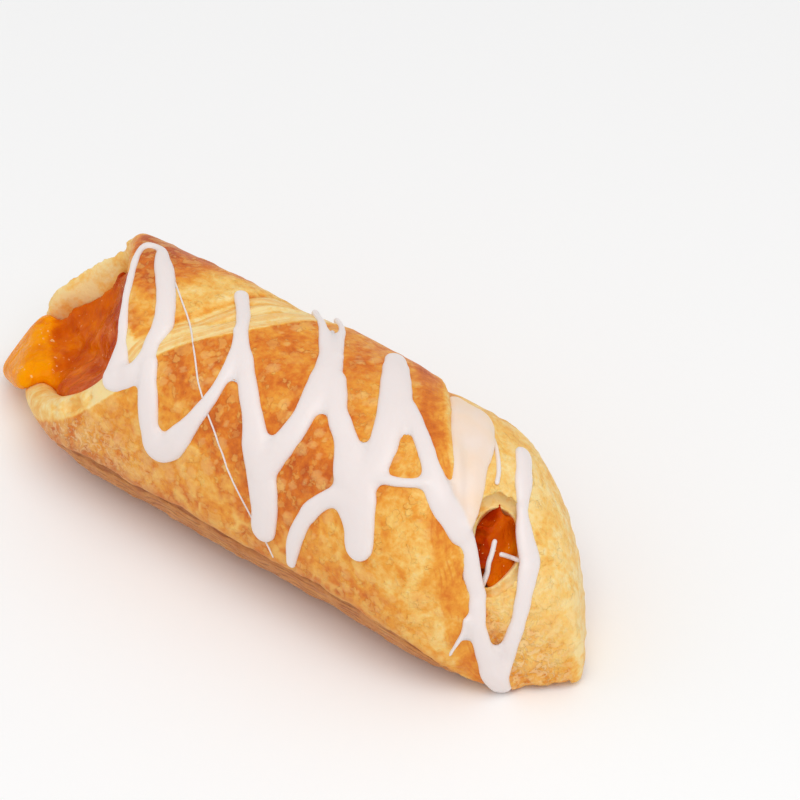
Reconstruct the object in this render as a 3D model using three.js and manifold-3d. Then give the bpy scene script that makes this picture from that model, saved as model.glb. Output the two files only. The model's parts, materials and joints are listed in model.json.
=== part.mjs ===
// A folded danish pastry: a square of laminated dough laid cornerwise, its near and far corners
// folded over a fruit filling, which shows in the open mouth at one end and in a pocket at the other.
//
// Millimetres, +Z up. +X runs along the roll, from the open mouth to the closed toe. The near fold
// comes up from the -Y side and laps over the far one. The origin is under the middle of the box.
import * as THREE from "three";
import { ParametricGeometry } from "three/addons/geometries/ParametricGeometry.js";
import { mergeVertices } from "three/addons/utils/BufferGeometryUtils.js";
import Module from "manifold-3d";

// Driving dimensions of the roll.
const MOUTH_TIP = -67;        // x of the dough's corner under the mouth
const TOE_TIP = 67;           // x of the corner at the closed end
const BODY_WIDTH = 41;
const BODY_HEIGHT = 40;
const BODY_MIDDLE = 17;       // height of the widest part of the roll
const BODY_LEAN = 1.2;        // how far the body stands to the far side of the toe's corner
const BASE_SAG = 2.6;         // how much of the round underside the tray has flattened
const SQUARENESS = 2.2;       // of the section's upper half, where 2 is an ellipse
const TOE_SHOULDER = 36;      // x where the roll starts to narrow towards the toe
const TOE_THICKNESS = 8;
const BOW_SHOULDER = -32;     // x where the roll starts to narrow towards the mouth's corner
const BOW_LEAN = 3.5;         // how far the mouth's corner stands to the far side
const BOW_BLUNTNESS = 0.35;   // share of the width that is left at that corner
const WALL = 6;               // baked thickness of the dough round the filling
const LIP = 2.2;              // half thickness of the dough's edge round the mouth
const GAP = 0.3;              // air between the dough and the filling

// Powers that shape the two ends: the first rounds the shoulder, the second fills out the end.
const TOE_PLAN = [1.9, 0.85];
const TOE_PROFILE = [1.8, 0.82];
const BOW_PLAN = [2, 0.5];

// The mouth's edge round the roll. Angles are 0 under the base, 90 on the near side, 180 on top
// and 270 on the far side; each one has the x that the edge reaches there.
const EDGE_ANGLES = [0, 45, 67.5, 90, 120, 142.5, 165, 195, 232.5, 262.5, 300, 360];
const EDGE_X = [-67, -62, -53, -42, -29, -29, -35, -43, -52, -63, -68, -67];

// The near fold's flap laps over the top and ends in a corner on the far side.
const CROSSING = 120;         // angle where its left edge leaves the mouth
const FLAP_CORNER = 255;      // angle of the corner
const FLAP_CORNER_X = 8;
const FLAP_FOOT = 45;         // angle where its right edge leaves the base
const FLAP_FOOT_X = 57;
const FLAP_BEND = 1.9;        // power that bows its right edge
const FLAP_STEP = 1.6;        // how far it stands above the layer under it
const FLAP_RISE = [37, 65];   // angles between which the step grows from nothing

const UP = new THREE.Vector3(0, 0, 1);
const rad = THREE.MathUtils.degToRad;
const { clamp, lerp, smoothstep } = THREE.MathUtils;

const toeShare = (x) => clamp((x - TOE_SHOULDER) / (TOE_TIP - TOE_SHOULDER), 0, 1);
const bowShare = (x) => clamp((BOW_SHOULDER - x) / (BOW_SHOULDER - MOUTH_TIP), 0, 1);

const narrowed = (share, [shoulder, end]) => (1 - share ** shoulder) ** end;

function halfWidth(x) {
  const bow = Math.max(narrowed(bowShare(x), BOW_PLAN), BOW_BLUNTNESS);
  return (BODY_WIDTH / 2) * narrowed(toeShare(x), TOE_PLAN) * bow;
}

function topHeight(x) {
  return lerp(TOE_THICKNESS, BODY_HEIGHT, narrowed(toeShare(x), TOE_PROFILE));
}

function middleHeight(x) {
  return lerp(BODY_MIDDLE, TOE_THICKNESS / 2, smoothstep(toeShare(x), 0, 1));
}

function middleY(x) {
  return lerp(BODY_LEAN * (1 - toeShare(x)), BOW_LEAN, smoothstep(bowShare(x), 0, 1));
}

// A point of the roll's skin. inset takes the point into the dough.
function skin(x, phi, inset, target) {
  const s = Math.sin(rad(phi));
  const c = Math.cos(rad(phi));
  const wide = Math.max(halfWidth(x) - inset, 0);
  const middle = middleHeight(x);
  const up = Math.max(topHeight(x) - inset - middle, 0);
  const down = Math.max(middle + BASE_SAG - inset, 0);
  const shape = (Math.abs(s) ** SQUARENESS + Math.abs(c) ** SQUARENESS) ** (-1 / SQUARENESS);
  const reach = c > 0 ? 1 : shape;
  const y = middleY(x) - wide * s * reach;
  const z = middle - c * reach * (c > 0 ? down : up);
  return target.set(x, y, Math.max(z, inset, 0));
}

const edgeCurve = new THREE.CubicInterpolant(EDGE_ANGLES, EDGE_X, 1, new Float32Array(1));
const edge = (phi) => edgeCurve.evaluate(phi)[0];

// On the near side the flap runs out to the mouth's edge itself, all but this much.
const BRINK = 0.5;

// How far an angle has come from the flap's corner, round under the base, to the flap's foot.
function underShare(phi) {
  const past = phi < FLAP_FOOT ? phi + 360 : phi;
  return clamp((past - FLAP_CORNER) / (360 + FLAP_FOOT - FLAP_CORNER), 0, 1);
}

// x of the flap's two edges round the roll. Under the base they only guide the rows of points.
function flapRight(phi) {
  if (underShare(phi) > 0) return lerp(FLAP_CORNER_X, FLAP_FOOT_X, underShare(phi));
  const climbed = (phi - FLAP_FOOT) / (FLAP_CORNER - FLAP_FOOT);
  return lerp(FLAP_FOOT_X, FLAP_CORNER_X, climbed ** FLAP_BEND);
}

function flapLeft(phi) {
  if (underShare(phi) > 0) return lerp(FLAP_CORNER_X, edge(phi), underShare(phi));
  if (phi <= CROSSING) return edge(phi) + BRINK;
  return lerp(edge(CROSSING), FLAP_CORNER_X, (phi - CROSSING) / (FLAP_CORNER - CROSSING));
}

// The dough's shell, for one angle after another: from the toe along the skin to the flap's right
// edge, up onto the flap, down at its left edge, on to the mouth, over the lip and back inside.
const CAVITY_END = 58;
const LIP_BLEND = 0.3;        // share of the way in, over which the lip's thickness becomes the wall's
const AROUND = 48;            // points round the roll
const TOE_ROWS = 14;
const FLAP_ROWS = 12;
const BACK_ROWS = 6;
const LIP_ROWS = 4;
const INSIDE_ROWS = 10;
const SHELL_ROWS = TOE_ROWS + 1 + FLAP_ROWS + 1 + BACK_ROWS + LIP_ROWS + INSIDE_ROWS;

function shell(gap) {
  const end = new THREE.Vector3(CAVITY_END - gap, 0, middleHeight(CAVITY_END));
  return (u, v, target) => {
    const phi = 360 * u;
    const mouth = edge(phi);
    const right = flapRight(phi);
    const left = flapLeft(phi);
    const step = phi < FLAP_CORNER ? smoothstep(phi, ...FLAP_RISE) : 0;
    const lift = -gap - step * FLAP_STEP;
    let row = Math.round(v * SHELL_ROWS);
    if (row === 0) return target.set(TOE_TIP + gap, 0, TOE_THICKNESS / 2);
    if (row <= TOE_ROWS) {
      const t = 1 - Math.cos(((row / TOE_ROWS) * Math.PI) / 2);
      return skin(lerp(TOE_TIP, right, t), phi, -gap, target);
    }
    row -= TOE_ROWS + 1;
    if (row <= FLAP_ROWS) return skin(lerp(right, left, row / FLAP_ROWS), phi, lift, target);
    row -= FLAP_ROWS + 1;
    const after = phi <= CROSSING ? lift : -gap;
    if (row <= BACK_ROWS) return skin(lerp(left, mouth, row / BACK_ROWS), phi, after, target);
    row -= BACK_ROWS;
    if (row <= LIP_ROWS) {
      const t = row / LIP_ROWS;
      skin(mouth, phi, lerp(after, 2 * LIP + gap, t), target);
      target.x -= Math.sin(Math.PI * t) * (LIP + gap);
      return target;
    }
    row -= LIP_ROWS;
    if (row === INSIDE_ROWS) return target.copy(end);
    const t = row / INSIDE_ROWS;
    const x = lerp(mouth, CAVITY_END - gap, Math.sin((t * Math.PI) / 2));
    const closing = clamp((x - TOE_SHOULDER) / (CAVITY_END - TOE_SHOULDER), 0, 1);
    skin(x, phi, lerp(2 * LIP, WALL, smoothstep(t, 0, LIP_BLEND)) + gap, target);
    return target.lerp(end, closing ** 3);
  };
}

// The filling: the cavity's shape with a hollow face that stands in the mouth, level with the
// dough's edge on the near side and some way in on the far side and under the fold above.
const FILL_NEAR = 45;         // angle where its face comes nearest to the dough's edge
const FILL_DEPTH = 0.5;       // how far it stands back from the edge there
const FILL_DEPTH_FAR = 1.2;   // and opposite
const FACE_BOTTOM = new THREE.Vector3(-51, 1.5, 14.5);
const FACE_INWARD = new THREE.Vector3(0.78, 0.42, -0.46);
const HOLLOWNESS = 1;
const CORE_END = 60;
const CORE_ROWS = 12;
const FACE_ROWS = 7;

function core(inset) {
  const end = new THREE.Vector3(CORE_END, 0, middleHeight(CORE_END));
  return (u, v, target) => {
    const phi = 360 * u;
    const far = (1 - Math.cos(rad(phi - FILL_NEAR))) / 2;
    const brim = edge(phi) + lerp(FILL_DEPTH, FILL_DEPTH_FAR, far ** 2);
    const row = Math.round(v * (CORE_ROWS + FACE_ROWS));
    if (row === 0) return target.copy(end);
    if (row <= CORE_ROWS) {
      const t = Math.sin(((row / CORE_ROWS) * Math.PI) / 2);
      return skin(lerp(CORE_END, brim, t), phi, inset, target);
    }
    const t = (row - CORE_ROWS) / FACE_ROWS;
    const hollow = HOLLOWNESS * Math.sin(Math.PI * t);
    return skin(brim, phi, inset, target).lerp(FACE_BOTTOM, t).addScaledVector(FACE_INWARD, hollow);
  };
}

// The tongue of filling that has run out over the mouth's lower corner: a wedge with rounded
// corners. Each corner has its x, y, z and radius.
const SPILL_CORNERS = [
  [-66.9, -3, 4, 2.2],
  [-65.5, 5, 10, 2.4],
  [-57.5, -7.5, 9.3, 3],
  [-51, 2, 9, 3],
];

// The pocket by the toe: a rounded hole through the dough, beside the flap's edge, that narrows
// down the near side. The filling stands in it, a little below the skin.
const POCKET_AT = new THREE.Vector3(52.3, -5.3, 28.7);
const POCKET_FOOT = new THREE.Vector3(53.4, -9.9, 24);
const POCKET_OUTWARD = new THREE.Vector3(0.45, -0.5, 0.74);
const POCKET_WIDTH = 4.3;     // half its width along the roll
const POCKET_LENGTH = 6.2;    // half its length down the near side
const POCKET_FOOT_WIDTH = 2;  // half its width at its foot
const POCKET_DEPTH = 9;
const POCKET_RECESS = 2.8;    // how far below the skin the filling stands

const CORNER_MERGE = 1e-4;
const wasm = await Module();
wasm.setup();

// One closed surface with shared corners, and no triangle squeezed to a line.
function closed(geometry) {
  const bare = geometry.clone();
  bare.deleteAttribute("normal");
  bare.deleteAttribute("uv");
  const merged = mergeVertices(bare, CORNER_MERGE);
  const index = merged.index.array;
  const triVerts = [];
  for (let i = 0; i < index.length; i += 3) {
    const [a, b, c] = [index[i], index[i + 1], index[i + 2]];
    if (a !== b && b !== c && c !== a) triVerts.push(a, b, c);
  }
  return new wasm.Manifold(
    new wasm.Mesh({
      numProp: 3,
      vertProperties: new Float32Array(merged.attributes.position.array),
      triVerts: new Uint32Array(triVerts),
    }),
  );
}

const parametric = (shape, rows) => closed(new ParametricGeometry(shape, AROUND, rows));

// An ellipsoid, its third size along the given direction.
function lump(centre, across, down, along, direction) {
  const geometry = new THREE.SphereGeometry(1, 24, 16);
  geometry.scale(across, down, along);
  geometry.applyMatrix4(new THREE.Matrix4().lookAt(direction, new THREE.Vector3(), UP));
  geometry.translate(centre.x, centre.y, centre.z);
  return closed(geometry);
}

function pocket(gap) {
  const narrow = POCKET_FOOT_WIDTH - gap;
  return wasm.Manifold.hull([
    lump(POCKET_AT, POCKET_WIDTH - gap, POCKET_LENGTH - gap, POCKET_DEPTH, POCKET_OUTWARD),
    lump(POCKET_FOOT, narrow, narrow, POCKET_DEPTH - 2, POCKET_OUTWARD),
  ]);
}

const spill = wasm.Manifold.hull(
  SPILL_CORNERS.map(([x, y, z, radius]) => {
    return lump(new THREE.Vector3(x, y, z), radius, radius, radius, UP);
  }),
);

const doughSolid = parametric(shell(0), SHELL_ROWS).subtract(pocket(0));
const fillingSolid = parametric(core(LIP), CORE_ROWS + FACE_ROWS)
  .add(spill)
  .subtract(parametric(shell(GAP), SHELL_ROWS))
  .add(parametric(core(POCKET_RECESS), CORE_ROWS + FACE_ROWS).intersect(pocket(GAP)));

// The middle of the whole pastry's underside goes to the origin.
const box = doughSolid.add(fillingSolid).boundingBox();
const middle = box.min.map((low, axis) => (low + box.max[axis]) / 2);
const toOrigin = [-middle[0], -middle[1], -box.min[2]];

function mesh(name, solid, color, roughness) {
  const { vertProperties, triVerts } = solid.translate(toOrigin).getMesh();
  const geometry = new THREE.BufferGeometry();
  geometry.setAttribute("position", new THREE.BufferAttribute(vertProperties, 3));
  geometry.setIndex(new THREE.BufferAttribute(triVerts, 1));
  geometry.computeVertexNormals();
  const material = new THREE.MeshStandardMaterial({ color, roughness, metalness: 0 });
  const part = new THREE.Mesh(geometry, material);
  part.name = name;
  return part;
}

const pastry = new THREE.Group();
pastry.add(mesh("dough", doughSolid, 0xe0a04c, 0.55));
pastry.add(mesh("filling", fillingSolid, 0xd9761c, 0.2));
export default pastry;
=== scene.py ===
"""A folded danish pastry: a square of laminated dough, folded over apricot filling and iced.

The crust and the filling start from copies of the frame's solids, and the icing is made of tubes
laid on them. Places on the roll are given as millimetres along it, which is X in the frame, and
degrees round it: 0 is under the base, 90 on the near side (-Y), 180 on top and 270 on the far side.
+X runs from the open mouth to the closed toe.
"""

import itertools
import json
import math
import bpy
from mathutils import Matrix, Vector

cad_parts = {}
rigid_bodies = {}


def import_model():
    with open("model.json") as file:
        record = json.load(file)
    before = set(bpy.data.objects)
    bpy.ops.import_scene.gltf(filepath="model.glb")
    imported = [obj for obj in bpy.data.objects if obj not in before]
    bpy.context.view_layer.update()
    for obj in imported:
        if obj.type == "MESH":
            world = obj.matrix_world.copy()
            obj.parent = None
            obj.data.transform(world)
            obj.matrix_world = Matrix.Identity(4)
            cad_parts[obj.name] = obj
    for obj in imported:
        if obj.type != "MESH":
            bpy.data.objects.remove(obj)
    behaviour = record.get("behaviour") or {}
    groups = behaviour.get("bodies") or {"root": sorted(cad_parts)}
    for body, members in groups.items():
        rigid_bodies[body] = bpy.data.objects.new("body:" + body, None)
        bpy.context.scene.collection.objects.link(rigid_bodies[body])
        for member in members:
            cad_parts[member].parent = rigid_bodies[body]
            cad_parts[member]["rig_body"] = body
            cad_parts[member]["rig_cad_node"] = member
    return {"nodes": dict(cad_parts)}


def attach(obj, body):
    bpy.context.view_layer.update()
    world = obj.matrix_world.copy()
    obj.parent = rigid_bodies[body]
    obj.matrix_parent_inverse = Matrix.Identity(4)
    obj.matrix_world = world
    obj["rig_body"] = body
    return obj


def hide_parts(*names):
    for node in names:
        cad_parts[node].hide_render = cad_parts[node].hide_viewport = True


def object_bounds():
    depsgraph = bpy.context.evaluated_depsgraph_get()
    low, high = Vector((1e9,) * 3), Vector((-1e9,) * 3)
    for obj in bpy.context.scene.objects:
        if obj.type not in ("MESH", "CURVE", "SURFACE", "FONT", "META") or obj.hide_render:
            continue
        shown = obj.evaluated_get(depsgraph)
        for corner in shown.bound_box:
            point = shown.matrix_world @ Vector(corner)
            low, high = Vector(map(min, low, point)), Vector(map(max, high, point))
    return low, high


bl_info = {
    "name": "Folded Danish Pastry",
    "version": (1, 0, 0),
    "blender": (4, 5, 0),
    "location": "View3D > Sidebar > Pastry",
    "description": "Models an iced danish pastry: its crust, its apricot filling and its icing",
    "category": "Add Mesh",
}

import bpy
import numpy as np
from mathutils import Vector
from mathutils.bvhtree import BVHTree
from mathutils.kdtree import KDTree

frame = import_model()
CAD_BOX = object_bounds()
MM = 0.001

# The roll's form in millimetres, as the solids have it.
TOE_TIP = CAD_BOX[1].x / MM
MOUTH_TIP = TOE_TIP - 134
MIDDLE_Y = -0.55              # y of the line between the dough's two free corners
HALF_WIDTH = 20.5
HEIGHT = 40
WIDEST_AT = 17                # height of the widest part
BASE_SAG = 2.6
SQUARENESS = 2.2              # of the section's upper half, where 2 is an ellipse
TOE_SHOULDER = TOE_TIP - 31
TOE_THICKNESS = 8
BOW_SHOULDER = MOUTH_TIP + 35
BOW_BLUNTNESS = 0.35
BODY_LEAN = 1.2
BOW_LEAN = 3.5
MM_PER_DEGREE = 0.37          # round the skin
OUTSIDE = 60                  # a distance from the middle that is well outside the roll
GAP_STOPS = 5                 # icing bridges a gap of up to twice as many places of its route
MOUTH_CENTRE = (MOUTH_TIP + 16, 1, 14.5)
MOUTH_OUTWARD = (-0.78, -0.42, 0.46)

# The mouth's edge: its angle and how far it is from the mouth's tip.
MOUTH_EDGE = (
    (0, 0), (45, 5), (67.5, 14), (90, 25), (120, 38), (142.5, 38), (165, 32), (195, 24),
    (232.5, 15), (262.5, 4), (300, -1), (360, 0),
)
CROSSING = 120                # angle where the flap leaves the mouth and crosses the top
FLAP_CORNER = 255
FLAP_CORNER_X = TOE_TIP - 59
FLAP_FOOT = 45
FLAP_FOOT_X = TOE_TIP - 10
FLAP_BEND = 1.9
FLAP_STEP = 1.6
FLAP_SPREAD = 2.8             # the flap's edge lies this far beyond the solid's by the pocket
POCKET_CENTRE = (TOE_TIP - 16.3, -6.5, 28.5)
POCKET_SIZE = (9, 8, 13)

# The flap's cut edge is a pale slope of layers, from the mouth's edge or this line (angle, x) ...
CUT_FOOT = (
    (120, -27), (145, -25.4), (152, -23.5), (160, -21.1), (169, -18.4), (178, -16.8),
    (188, -15.5), (198, -14), (215, -9), (235, -1), (255, 7),
)
# ... up to this one, where the browned top begins.
CUT_TOP = (
    (0, -61), (30, -59), (50, -56), (69, -48.8), (84, -41.5), (91, -36.4), (99, -32), (107, -28.5),
    (115, -25.4), (122, -22.9), (130, -20.8), (141, -18.6), (154, -13.8), (164, -10.2), (174, -7),
    (186, -4), (202, -1), (230, 5), (255, 10.5),
)
# Creases in the dough, beside the flap and under the pocket: places (x, angle) along each.
CREASES = (
    ((-25.4, 145), (-23.5, 152), (-21.1, 160), (-18.2, 169), (-16.8, 178), (-15.5, 188), (-14, 205)),
    ((-17.5, 164), (-16.6, 170), (-16.2, 176), (-14.7, 185), (-13, 191), (-10.8, 198), (-7, 212)),
    ((-17.8, 166), (-15, 168), (-12.5, 174), (-10.5, 183), (-8, 193), (-5, 206)),
    ((56, 108), (57.5, 95), (58.8, 84), (59.8, 74)),
)
# The cracked seam low on each side, over the rough base: x and angle.
SEAM = (
    (-60, 62), (-33, 74), (-26, 76), (-18, 75), (-11, 77), (-5, 78), (2, 77), (8, 76), (20, 78),
    (34, 78), (45, 75), (52, 68), (60, 58),
)
# The lowest angle that is browned on top of the flap, and on the fold behind it, by x.
FLAP_BROWN = (
    (-22, 128), (-8, 112), (-1, 100), (8, 91), (16, 91), (25, 102), (34, 116), (42, 133), (55, 165),
)
FOLD_BROWN = ((-45, 173), (-33, 166), (-29, 162), (-26, 168), (-20, 195), (-16, 207), (-6, 235))
# Patches on the crust: strength, x, angle, then how far the patch reaches along and round.
BROWN_PATCHES = (
    (0.3, -39, 200, 8, 22), (0.2, 26, 88, 15, 18), (0.14, -32, 165, 6, 14),
    (0.14, TOE_TIP - 4, 60, 6, 60), (0.32, -28, 150, 4.5, 9),
)
FLAKY_PATCHES = ((1, 2, 90, 16, 9), (0.8, 30, 82, 16, 8))
SCALY_PATCHES = ((1, -38, 88, 22, 17), (1, TOE_TIP - 6, 95, 8, 45))
BLISTERED_PATCHES = ((1, -32, 92, 26, 26), (2.5, 59, 100, 8, 40))


# ---- places on the roll


def ease(value, low, high):
    """0 below low, 1 above high and smooth between; high may be the smaller."""
    t = np.clip((value - low) / (high - low), 0, 1)
    return t * t * (3 - 2 * t)


def band(value, low, full, last, high):
    """1 from full to last, and 0 below low and above high."""
    return ease(value, low, full) * ease(value, high, last)


def bell(value, middle, width):
    """1 in the middle, falling to 0 on both sides."""
    return np.exp(-(((value - middle) / width) ** 2))


def cloud(points, size, seed=0):
    """Smooth noise from -1 to 1 at points in millimetres, in lumps of the given size."""
    place = points / size + seed * 17.3
    corner = np.floor(place).astype(np.int64)
    part = place - corner
    part = part * part * (3 - 2 * part)
    total = np.zeros(len(points))
    for step in itertools.product((0, 1), repeat=3):
        key = (corner + step) @ np.array((73856093, 19349663, 83492791)) + seed * 7919
        key = (key ^ (key >> 13)) * 1274126177
        value = ((key ^ (key >> 16)) & 0xFFFF) / 32767.5 - 1
        total += value * np.prod(np.where(step, part, 1 - part), axis=1)
    return total


def clouds(points, size, seed=0):
    """Noise with finer noise on it."""
    return (
        cloud(points, size, seed)
        + 0.5 * cloud(points, size / 2.1, seed + 1)
        + 0.25 * cloud(points, size / 4.3, seed + 2)
    ) / 1.4


class Skin:
    """Where each of a mesh's points lies on the roll."""

    def __init__(self, points):
        self.points = points / MM
        self.x, y, z = self.points.T
        toe = np.clip((self.x - TOE_SHOULDER) / (TOE_TIP - TOE_SHOULDER), 0, 1)
        bow = np.clip((BOW_SHOULDER - self.x) / (BOW_SHOULDER - MOUTH_TIP), 0, 1)
        wide = HALF_WIDTH * (1 - toe**1.9) ** 0.85 * np.maximum((1 - bow**2) ** 0.5, BOW_BLUNTNESS)
        top = TOE_THICKNESS + (HEIGHT - TOE_THICKNESS) * (1 - toe**1.8) ** 0.82
        middle = WIDEST_AT + (TOE_THICKNESS / 2 - WIDEST_AT) * ease(toe, 0, 1)
        lean = BODY_LEAN * (1 - toe)
        lean = lean + (BOW_LEAN - lean) * ease(bow, 0, 1)
        up = z - middle
        out = -(y - MIDDLE_Y - lean)
        side = out / np.maximum(wide, 2)
        height = up / np.where(up > 0, np.maximum(top - middle, 2), middle + BASE_SAG)
        self.angle = np.degrees(np.arctan2(side, -height)) % 360
        power = np.where(up > 0, SQUARENESS, 2)
        # 1 on the skin, less inside the dough and more above the skin, then that in millimetres.
        self.level = (np.abs(side) ** power + np.abs(height) ** power) ** (1 / power)
        self.above = np.hypot(up, out) * (1 - 1 / np.maximum(self.level, 0.05))
        self.from_mouth = self.x - line_at(MOUTH_EDGE, self.angle) - MOUTH_TIP
        self.outer = ease(self.level, 0.86, 0.95)

    def hill(self, along, around, long, wide):
        """1 at a place on the roll, falling to 0 over the given length and angle."""
        return np.exp(-(((self.x - along) / long) ** 2) - ((self.angle - around) / wide) ** 2)

    def hills(self, patches, total=0):
        """The hills of a table of patches, added up on top of a first total."""
        for strength, *place in patches:
            total = total + strength * self.hill(*place)
        return total

    def pocket(self):
        """1 round the small opening at the toe, where the filling shows."""
        away = (self.points - POCKET_CENTRE) / POCKET_SIZE
        return ease(np.linalg.norm(away, axis=1), 1.45, 1.0)

    def from_flap_right(self):
        """Distance inwards from the flap's right edge."""
        def edge(angle):
            climbed = np.clip((angle - FLAP_FOOT) / (FLAP_CORNER - FLAP_FOOT), 0, 1)
            line = FLAP_FOOT_X + (FLAP_CORNER_X - FLAP_FOOT_X) * climbed**FLAP_BEND
            return line + FLAP_SPREAD * ease(angle, 185, 145)

        here = edge(self.angle)
        slope = (edge(self.angle + 1) - here) / MM_PER_DEGREE
        return (here - self.x) / np.sqrt(1 + slope**2)

    def from_route(self, stops):
        """Distance from a line of places (x, angle) on the skin."""
        place = np.stack((self.x, self.angle * MM_PER_DEGREE), axis=1)
        route = np.array(stops, float) * (1, MM_PER_DEGREE)
        nearest = np.full(len(place), 1e3)
        for start, end in zip(route, route[1:]):
            run = end - start
            share = np.clip((place - start) @ run / (run @ run), 0, 1)
            away = place - start - share[:, None] * run
            nearest = np.minimum(nearest, np.hypot(*away.T))
        return nearest


def unit(vectors):
    """The vectors with their length made 1."""
    return vectors / np.maximum(np.linalg.norm(vectors, axis=1, keepdims=True), 1e-9)


def outward_at(points):
    """Directions straight out of the roll at points in millimetres."""
    here = Skin(points * MM).level
    slopes = [Skin((points + step) * MM).level - here for step in 0.05 * np.eye(3)]
    return unit(np.stack(slopes, axis=1))


def line_at(line, place):
    """The second number of a line of pairs, at the given first number."""
    return np.interp(place, *np.array(line, float).T)


# ---- modelling helpers


def choose(piece):
    """Makes the piece the only selected one, and active."""
    bpy.ops.object.select_all(action="DESELECT")
    piece.select_set(True)
    bpy.context.view_layer.objects.active = piece


def edit(piece, operator, faces=None, **settings):
    """Runs an operator of edit mode on the faces that are marked, or on the whole piece."""
    choose(piece)
    bpy.ops.object.mode_set(mode="EDIT")
    bpy.ops.mesh.select_mode(type="FACE")
    bpy.ops.mesh.select_all(action="SELECT")
    if faces is not None:
        bpy.ops.mesh.select_all(action="DESELECT")
        bpy.ops.object.mode_set(mode="OBJECT")
        piece.data.polygons.foreach_set("select", faces)
        bpy.ops.object.mode_set(mode="EDIT")
    operator(**settings)
    bpy.ops.object.mode_set(mode="OBJECT")


def copy_of(source, name):
    """A solid's copy, as a piece of its own, with its loose triangles joined."""
    choose(source)
    bpy.ops.object.duplicate()
    piece = bpy.context.object
    piece.name = piece.data.name = name
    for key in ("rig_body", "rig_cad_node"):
        if key in piece:
            del piece[key]
    piece.parent = None
    piece.data.materials.clear()
    edit(piece, bpy.ops.mesh.remove_doubles, threshold=1e-6)
    return piece


def finish_with(piece, kind, weights=None, **settings):
    """Applies a modifier to the piece, or to as much of it as the weights from 0 to 1 say."""
    choose(piece)
    modifier = piece.modifiers.new(kind.lower(), kind)
    for key, value in settings.items():
        setattr(modifier, key, value)
    if weights is not None:
        group = piece.vertex_groups.new(name="weights")
        for index, weight in enumerate(weights.tolist()):
            group.add((index,), weight, "REPLACE")
        modifier.vertex_group = group.name
    bpy.ops.object.modifier_apply(modifier=modifier.name)
    piece.vertex_groups.clear()


def remesh(piece, size):
    """Gives the piece even faces of one size."""
    finish_with(piece, "REMESH", mode="VOXEL", voxel_size=size)


def smooth(piece, times, weights=None):
    """Smooths the piece so many times."""
    finish_with(piece, "SMOOTH", weights, factor=0.5, iterations=times)


def raise_skin(piece, heights):
    """Moves each point out along its normal by its height in millimetres."""
    low, high = float(heights.min()), float(heights.max())
    share = (heights - low) / (high - low)
    finish_with(piece, "DISPLACE", mid_level=0, strength=low * MM)
    finish_with(piece, "DISPLACE", share, mid_level=0, strength=(high - low) * MM)


def read(items, name, width=1, kind=np.float32):
    """The numbers that a mesh keeps for its points, edges or faces, in rows if width is above 1."""
    numbers = np.empty(len(items) * width, kind)
    items.foreach_get(name, numbers)
    return numbers.reshape(-1, width) if width > 1 else numbers


def points_of(piece):
    """The piece's points, in metres."""
    return read(piece.data.vertices, "co", 3).astype(float)


def facing_out(piece, points):
    """1 where the piece faces out of the roll, less where it faces along it."""
    normals = read(piece.data.vertex_normals, "vector", 3)
    return (normals * outward_at(points / MM)).sum(axis=1)


def edge_ends(piece):
    """The numbers of the points at the two ends of each edge."""
    return read(piece.data.edges, "vertices", 2, np.int32).T


def spread(piece, values, rings, soft_rings):
    """Gives each point the greatest value within some edges of it, fading out over some more."""
    first, second = edge_ends(piece)
    for _ in range(rings):
        wider = values.copy()
        np.maximum.at(wider, first, values[second])
        np.maximum.at(wider, second, values[first])
        values = wider
    neighbours = np.bincount(np.append(first, second), minlength=len(values))
    for _ in range(soft_rings):
        total = np.bincount(first, values[second], len(values))
        total = total + np.bincount(second, values[first], len(values))
        values = (values + total) / (1 + neighbours)
    return values


def note(piece, name, values):
    """Keeps a number for each point, for the piece's material to read."""
    attribute = piece.data.attributes.new(name, "FLOAT", "POINT")
    attribute.data.foreach_set("value", values.astype(np.float32))


def delete_faces(piece, doomed):
    """Deletes the faces whose points are all marked."""
    corners = read(piece.data.loops, "vertex_index", kind=np.int32)
    starts = read(piece.data.polygons, "loop_start", kind=np.int32)
    chosen = np.minimum.reduceat(doomed[corners].astype(int), starts)
    edit(piece, bpy.ops.mesh.delete, chosen.astype(bool), type="FACE")


def drop_specks(piece):
    """Deletes every part of the piece but the largest."""
    first, second = edge_ends(piece)
    part = np.arange(len(piece.data.vertices))
    while (part[first] != part[second]).any():
        lowest = np.minimum(part[first], part[second])
        np.minimum.at(part, first, lowest)
        np.minimum.at(part, second, lowest)
        part = part[part]
    delete_faces(piece, part != np.bincount(part).argmax())


def dress(piece, material):
    """Shades the piece smooth and gives it its material."""
    choose(piece)
    bpy.ops.object.shade_smooth()
    piece.data.materials.append(material)


def ride_and_replace(piece, node):
    """Makes the piece ride on the body in the place of the solid."""
    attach(piece, "root")
    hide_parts(node)


def windows(values, span):
    """For each value, the values up to the given number of places from it."""
    padded = np.pad(values, span, mode="edge")
    return np.lib.stride_tricks.sliding_window_view(padded, 2 * span + 1)


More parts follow.
